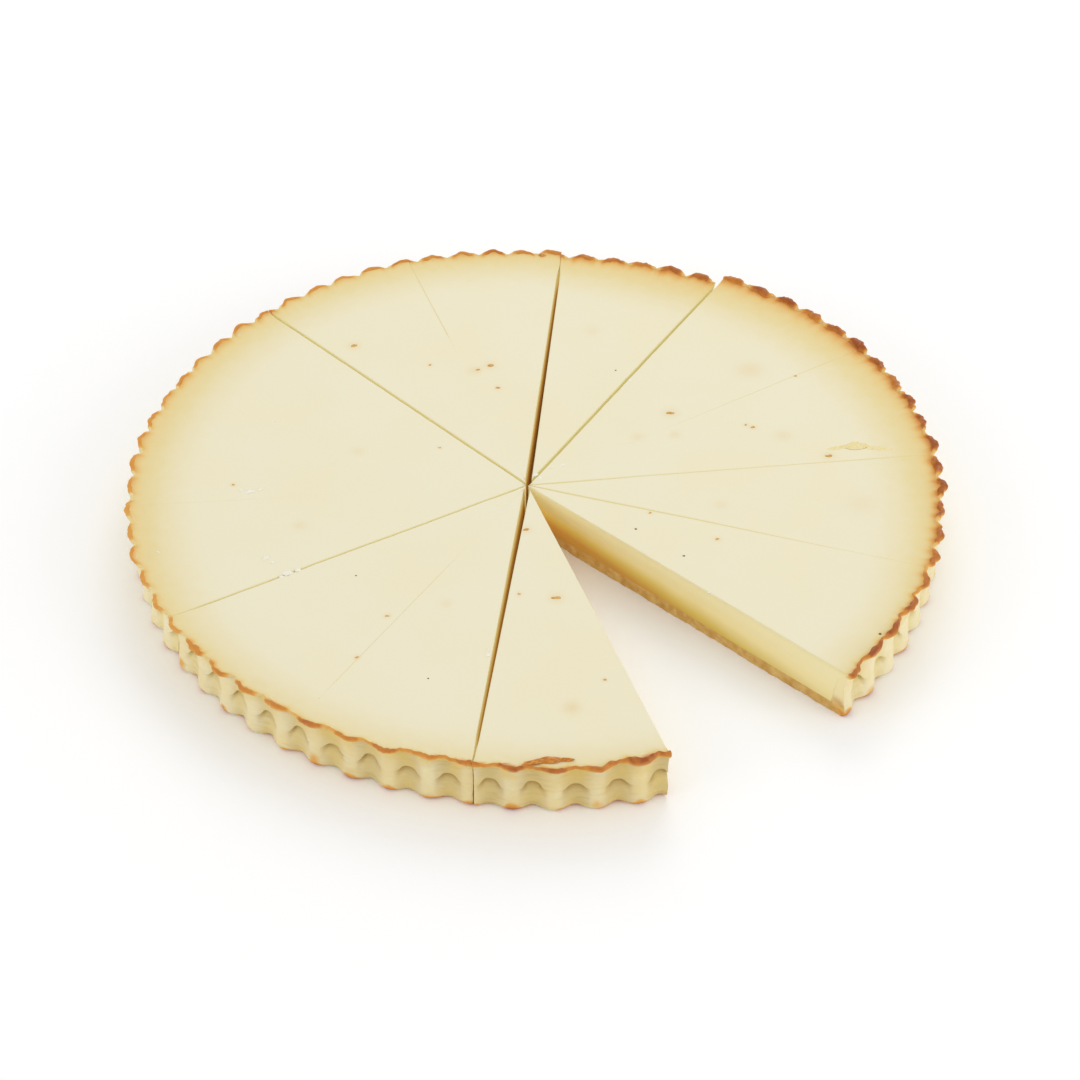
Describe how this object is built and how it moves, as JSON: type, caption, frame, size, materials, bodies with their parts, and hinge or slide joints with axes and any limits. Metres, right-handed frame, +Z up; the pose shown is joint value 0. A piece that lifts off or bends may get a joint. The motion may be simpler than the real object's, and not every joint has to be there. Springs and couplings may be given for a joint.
{
  "type": "ricotta cake",
  "caption": "Low round ricotta cake in a fluted, browned pastry shell, cut into portions that stand together, with one wedge taken out.",
  "frame": {"origin": "middle of the cake's box at its underside, on the surface it stands on", "axes": "+Z up through the cake, +Y towards its back, +X to its right, with the taken portion's gap at the front right"},
  "size_m": [0.2808, 0.2794, 0.0218],
  "materials": {
    "shortcrust": "matte",
    "ricotta_cream": "matte"
  },
  "bodies": {
    "root": {"pastry_01": "shortcrust", "pastry_02": "shortcrust", "pastry_03": "shortcrust", "pastry_04": "shortcrust", "pastry_05": "shortcrust", "pastry_06": "shortcrust", "pastry_07": "shortcrust", "pastry_08": "shortcrust", "pastry_09": "shortcrust", "pastry_10": "shortcrust", "pastry_11": "shortcrust", "pastry_12": "shortcrust", "pastry_13": "shortcrust", "filling_01": "ricotta_cream", "filling_02": "ricotta_cream", "filling_03": "ricotta_cream", "filling_04": "ricotta_cream", "filling_05": "ricotta_cream", "filling_06": "ricotta_cream", "filling_07": "ricotta_cream", "filling_08": "ricotta_cream", "filling_09": "ricotta_cream", "filling_10": "ricotta_cream", "filling_11": "ricotta_cream", "filling_12": "ricotta_cream", "filling_13": "ricotta_cream"}
  },
  "joints": []
}
